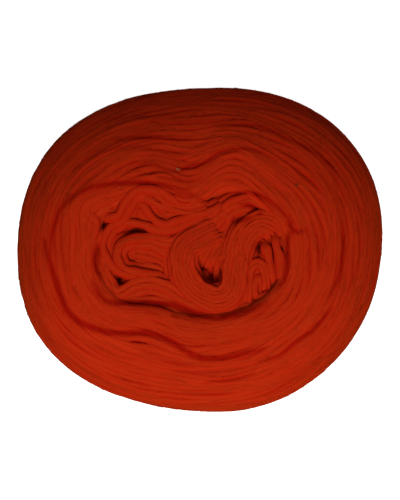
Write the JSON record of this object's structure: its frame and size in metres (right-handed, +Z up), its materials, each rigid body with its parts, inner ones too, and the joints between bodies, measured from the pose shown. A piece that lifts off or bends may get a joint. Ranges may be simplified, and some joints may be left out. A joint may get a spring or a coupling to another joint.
{
  "type": "unspun wool yarn",
  "caption": "Round plate of unspun wool roving wound without a core, squeezed slightly oval, with domed turns and a collapsed, folded eye.",
  "frame": {"origin": "on the ground under the middle of the outline, the plate lying on its flat underside", "axes": "+X along the longer way across the plate, +Y along the shorter way, +Z up out of the eye"},
  "size_m": [0.1976, 0.1758, 0.056],
  "materials": {
    "wool": "matte orange-red carded wool, soft and slightly hairy"
  },
  "bodies": {
    "root": {"wool_plate": "wool"}
  },
  "joints": []
}
